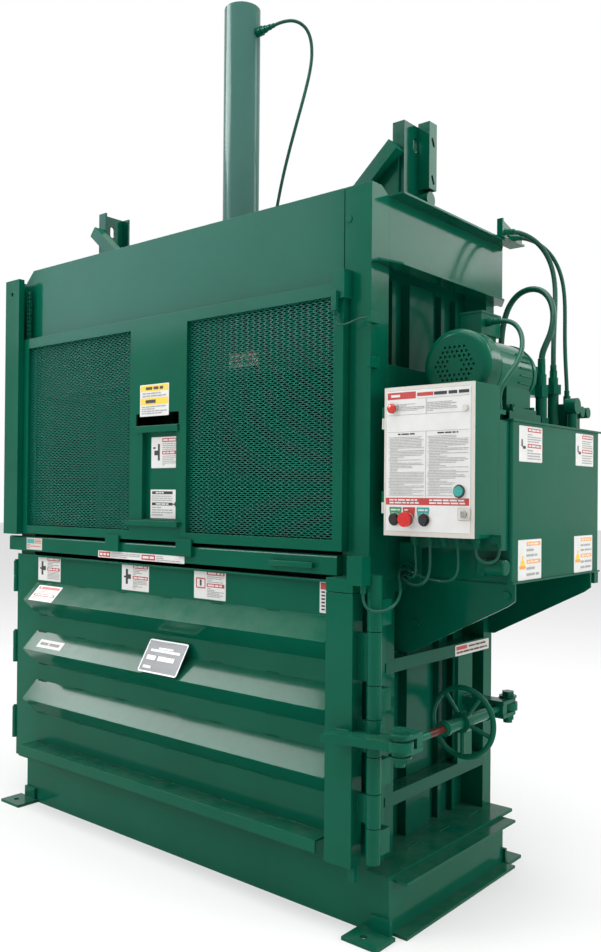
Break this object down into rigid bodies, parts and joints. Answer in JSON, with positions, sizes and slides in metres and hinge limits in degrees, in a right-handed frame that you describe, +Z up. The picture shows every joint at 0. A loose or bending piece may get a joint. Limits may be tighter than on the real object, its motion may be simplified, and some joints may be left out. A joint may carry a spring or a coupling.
{
  "type": "vertical recycling baler",
  "caption": "Low vertical baler: swing door with V ribs, mesh feed gate, press cylinder above and a side power unit with control box.",
  "frame": {"origin": "on the floor under the middle of the chamber", "axes": "+Z up along the press stroke, front with the door and gate faces -Y, the power unit is on the +X side"},
  "size_m": [2.117, 0.955, 2.998],
  "materials": {
    "green_paint": "gloss",
    "green_hose": "satin",
    "rod_chrome": "polished",
    "panel_grey": "satin",
    "button_black": "gloss",
    "button_red": "gloss",
    "button_teal": "gloss",
    "bright_metal": "brushed",
    "red_screw": "gloss"
  },
  "bodies": {
    "machine": {"base_frame": "green_paint", "floor_plate": "green_paint", "side_walls": "green_paint", "back_wall": "green_paint", "corner_posts": "green_paint", "side_frames": "green_paint", "side_skins": "green_paint", "front_panel": "green_paint", "top_frame": "green_paint", "guide_masts": "green_paint", "mast_braces": "green_paint", "cylinder_tube": "green_paint", "cylinder_ports": "green_paint", "gate_guide": "green_paint", "limit_switches": "green_paint", "sill_bar": "green_paint", "door_hinge_pins": "green_paint", "latch_hinge_pins": "green_paint", "latch_keeper": "green_paint", "turnbuckle_anchor": "green_paint", "unit_shelf": "green_paint", "tank": "green_paint", "tank_lid": "green_paint", "motor_body": "green_paint", "fan_cover": "green_paint", "junction_box": "green_paint", "pump_and_valve": "green_paint", "tank_fittings": "green_paint", "oil_filter": "green_paint", "control_box": "green_paint", "hose_bracket": "green_paint", "fasteners": "green_paint", "cylinder_hose": "green_hose", "pressure_hose": "green_hose", "return_hose": "green_hose", "loop_hose": "green_hose", "motor_conduit": "green_hose", "gate_conduit": "green_hose", "door_cable": "green_hose", "first_cable": "green_hose", "second_cable": "green_hose", "third_cable": "green_hose", "box_conduit": "green_hose"},
    "gate": {"gate_frame": "green_paint", "gate_mesh": "green_paint", "gate_chain": "green_paint"},
    "platen": {"platen": "green_paint", "piston_rod": "rod_chrome"},
    "door": {"door": "green_paint"},
    "latch": {"latch_post": "green_paint"},
    "front_screw": {"front_yoke": "red_screw"},
    "sleeve": {"turnbuckle_sleeve": "green_paint"},
    "handwheel": {"handwheel": "green_paint"},
    "fan": {"motor_fan": "green_paint"},
    "panel": {"panel_door": "panel_grey"},
    "start_button": {"start_button": "button_black"},
    "stop_button": {"stop_button": "button_red"},
    "lower_button": {"lower_button": "button_black"},
    "lit_button": {"lit_button": "button_teal"},
    "key": {"key_switch": "bright_metal"}
  },
  "joints": [
    {"name": "gate_lift", "type": "slide", "parent": "machine", "child": "gate", "axis": [0, 0, 1], "range_m": [0, 0.7]},
    {"name": "platen_press", "type": "slide", "parent": "machine", "child": "platen", "axis": [0, 0, -1], "range_m": [0, 0.914]},
    {"name": "door_swing", "type": "hinge", "parent": "machine", "child": "door", "pos_m": [-0.868, -0.371, 0.5], "axis": [0, 0, 1], "range_deg": [-110, 0]},
    {"name": "latch_swing", "type": "hinge", "parent": "machine", "child": "latch", "pos_m": [0.904, -0.401, 0.5], "axis": [0, 0, 1], "range_deg": [0, 30]},
    {"name": "screw_slide", "type": "slide", "parent": "machine", "child": "front_screw", "axis": [0, 1, 0], "range_m": [-0.001, 0.0525]},
    {"name": "sleeve_slide", "type": "slide", "parent": "machine", "child": "sleeve", "axis": [0, 1, 0], "range_m": [-0.001, 0.0265]},
    {"name": "wheel_turn", "type": "hinge", "parent": "sleeve", "child": "handwheel", "pos_m": [1.001, -0.095, 0.55], "axis": [0, 1, 0], "range_deg": [-20, 1860]},
    {"name": "fan_spin", "type": "hinge", "parent": "machine", "child": "fan", "pos_m": [1.035, -0.18, 1.566], "axis": [0, 1, 0], "continuous": true},
    {"name": "panel_swing", "type": "hinge", "parent": "machine", "child": "panel", "pos_m": [0.8985, -0.359, 1.3], "axis": [0, 0, 1], "range_deg": [-110, 0]},
    {"name": "start_button_press", "type": "slide", "parent": "panel", "child": "start_button", "axis": [0, 1, 0], "range_m": [0, 0.004], "stiffness_N_per_m": 600},
    {"name": "stop_button_press", "type": "slide", "parent": "panel", "child": "stop_button", "axis": [0, 1, 0], "range_m": [0, 0.006], "stiffness_N_per_m": 900},
    {"name": "lower_button_press", "type": "slide", "parent": "panel", "child": "lower_button", "axis": [0, 1, 0], "range_m": [0, 0.004], "stiffness_N_per_m": 600},
    {"name": "lit_button_press", "type": "slide", "parent": "panel", "child": "lit_button", "axis": [0, 1, 0], "range_m": [0, 0.004], "stiffness_N_per_m": 600},
    {"name": "key_turn", "type": "hinge", "parent": "panel", "child": "key", "pos_m": [1.153, -0.361, 1.157], "axis": [0, -1, 0], "range_deg": [0, 90]}
  ],
  "couplings": [
    {"joint": "screw_slide", "follows": "latch_swing", "m_per_rad": 0.0966},
    {"joint": "sleeve_slide", "follows": "latch_swing", "m_per_rad": 0.0483},
    {"joint": "wheel_turn", "follows": "latch_swing", "ratio": 60.7}
  ]
}
